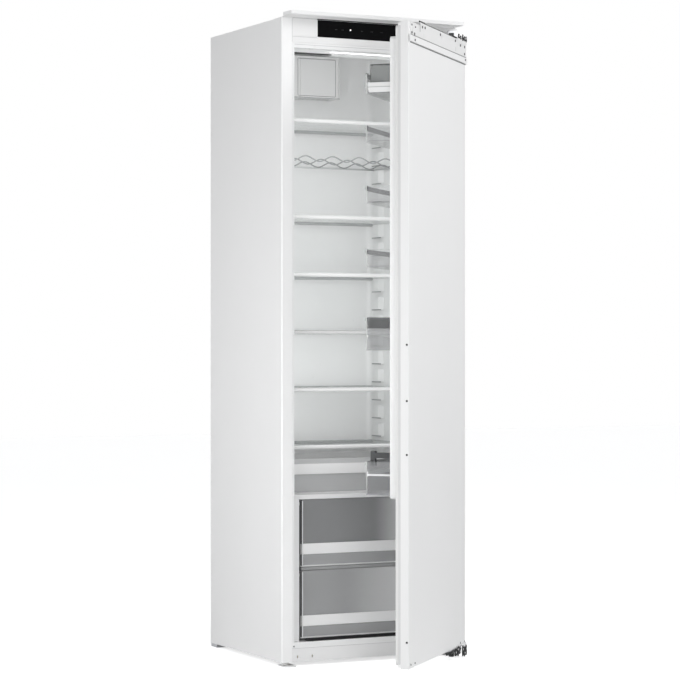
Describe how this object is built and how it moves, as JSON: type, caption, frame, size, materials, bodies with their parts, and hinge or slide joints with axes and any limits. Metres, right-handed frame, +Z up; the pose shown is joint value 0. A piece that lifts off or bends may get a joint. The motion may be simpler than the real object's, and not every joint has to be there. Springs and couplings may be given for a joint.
{
  "type": "built-in refrigerator",
  "caption": "Tall built-in larder refrigerator with its door part open, glass shelves, a wavy bottle rack, clear crisper drawers and door bins.",
  "frame": {"origin": "on the floor under the middle of the case, where its base rests", "axes": "+Z up, the front faces -Y, +X to the right of someone who stands before the open door"},
  "size_m": [0.557, 0.9155, 1.772],
  "materials": {
    "case_paint": "satin enamel",
    "zinc_sheet": "zinc coated, dull",
    "insulation": "foamed, matt",
    "liner_plastic": "soft gloss",
    "white_plastic": "fine satin",
    "control_glass": "printed black behind, polished",
    "lamp_diffuser": "diffusing",
    "shelf_glass": "clear, polished",
    "clear_plastic": "clear, smoky",
    "bin_plastic": "clear, smoky",
    "gasket_rubber": "matt",
    "chromed_wire": "bright",
    "black_paint": "satin black",
    "evaporator_metal": "dull",
    "grey_plastic": "matt",
    "hinge_steel": "dark, oiled"
  },
  "bodies": {
    "cabinet": {"side_panel_left": "case_paint", "side_panel_right": "case_paint", "top_panel": "case_paint", "back_panel": "zinc_sheet", "base_pan": "zinc_sheet", "insulation_foam": "insulation", "inner_liner": "liner_plastic", "front_base_panel": "case_paint", "top_trim": "white_plastic", "control_fascia": "white_plastic", "control_glass": "control_glass", "lamp_lens": "lamp_diffuser", "fan_cover": "white_plastic", "shelf_glass_1": "shelf_glass", "shelf_glass_2": "shelf_glass", "shelf_glass_3": "shelf_glass", "shelf_glass_4": "shelf_glass", "shelf_glass_5": "shelf_glass", "shelf_glass_6": "shelf_glass", "shelf_trim_1": "white_plastic", "shelf_trim_2": "white_plastic", "shelf_trim_3": "white_plastic", "shelf_trim_4": "white_plastic", "shelf_trim_5": "white_plastic", "shelf_trim_6": "white_plastic", "bottle_rack": "chromed_wire", "drawer_guide_left": "white_plastic", "drawer_guide_right": "white_plastic", "crisper_cover": "white_plastic", "compressor": "black_paint", "condenser": "black_paint", "evaporator": "evaporator_metal", "foot_front_left": "white_plastic", "foot_front_right": "white_plastic", "hinge_top_bracket": "zinc_sheet", "hinge_bottom_bracket": "zinc_sheet"},
    "door": {"door_outer_panel": "case_paint", "door_liner": "liner_plastic", "door_gasket": "gasket_rubber", "door_bin_1": "bin_plastic", "door_bin_2": "bin_plastic", "door_bin_3": "bin_plastic", "door_bin_4": "bin_plastic", "door_bin_5": "bin_plastic", "door_bin_6": "bin_plastic", "panel_bracket": "case_paint", "panel_rail": "case_paint", "hinge_top_plate": "zinc_sheet", "hinge_bottom_plate": "zinc_sheet"},
    "arm_top": {"hinge_top_arm": "hinge_steel"},
    "arm_bottom": {"hinge_bottom_arm": "hinge_steel"},
    "lid": {"dairy_lid": "bin_plastic"},
    "holder": {"bottle_holder": "grey_plastic"},
    "tray_upper": {"drawer_upper": "clear_plastic", "drawer_upper_strip": "white_plastic"},
    "tray_middle": {"drawer_middle": "clear_plastic", "drawer_middle_strip": "white_plastic"},
    "tray_lower": {"drawer_lower": "clear_plastic", "drawer_lower_strip": "white_plastic"},
    "rotor": {"fan_rotor": "grey_plastic"}
  },
  "joints": [
    {"name": "door_hinge", "type": "hinge", "parent": "cabinet", "child": "door", "pos_m": [0.2725, -0.27, 0.87], "axis": [0, 0, 1], "range_deg": [-44.5, 70.5]},
    {"name": "arm_top_pivot", "type": "hinge", "parent": "cabinet", "child": "arm_top", "pos_m": [0.2685, -0.254, 1.722], "axis": [0, 0, 1], "range_deg": [-41.5, 65.5]},
    {"name": "arm_bottom_pivot", "type": "hinge", "parent": "cabinet", "child": "arm_bottom", "pos_m": [0.2685, -0.254, 0.02], "axis": [0, 0, 1], "range_deg": [-41.5, 65.5]},
    {"name": "lid_hinge", "type": "hinge", "parent": "door", "child": "lid", "pos_m": [0.05781, -0.44031, 1.601], "axis": [0.7133, 0.7009, 0], "range_deg": [0, 50]},
    {"name": "holder_slide", "type": "slide", "parent": "door", "child": "holder", "axis": [0.7133, 0.7009, 0], "range_m": [-0.04, 0.26]},
    {"name": "upper_drawer_slide", "type": "slide", "parent": "cabinet", "child": "tray_upper", "axis": [0, -1, 0], "range_m": [0, 0.06]},
    {"name": "middle_drawer_slide", "type": "slide", "parent": "cabinet", "child": "tray_middle", "axis": [0, -1, 0], "range_m": [0, 0.06]},
    {"name": "lower_drawer_slide", "type": "slide", "parent": "cabinet", "child": "tray_lower", "axis": [0, -1, 0], "range_m": [0, 0.06]},
    {"name": "fan_spin", "type": "hinge", "parent": "cabinet", "child": "rotor", "pos_m": [0.031, 0.1805, 1.648], "axis": [0, -1, 0], "continuous": true}
  ],
  "couplings": [
    {"joint": "arm_top_pivot", "follows": "door_hinge", "ratio": 0.9206},
    {"joint": "arm_bottom_pivot", "follows": "door_hinge", "ratio": 0.9206}
  ]
}
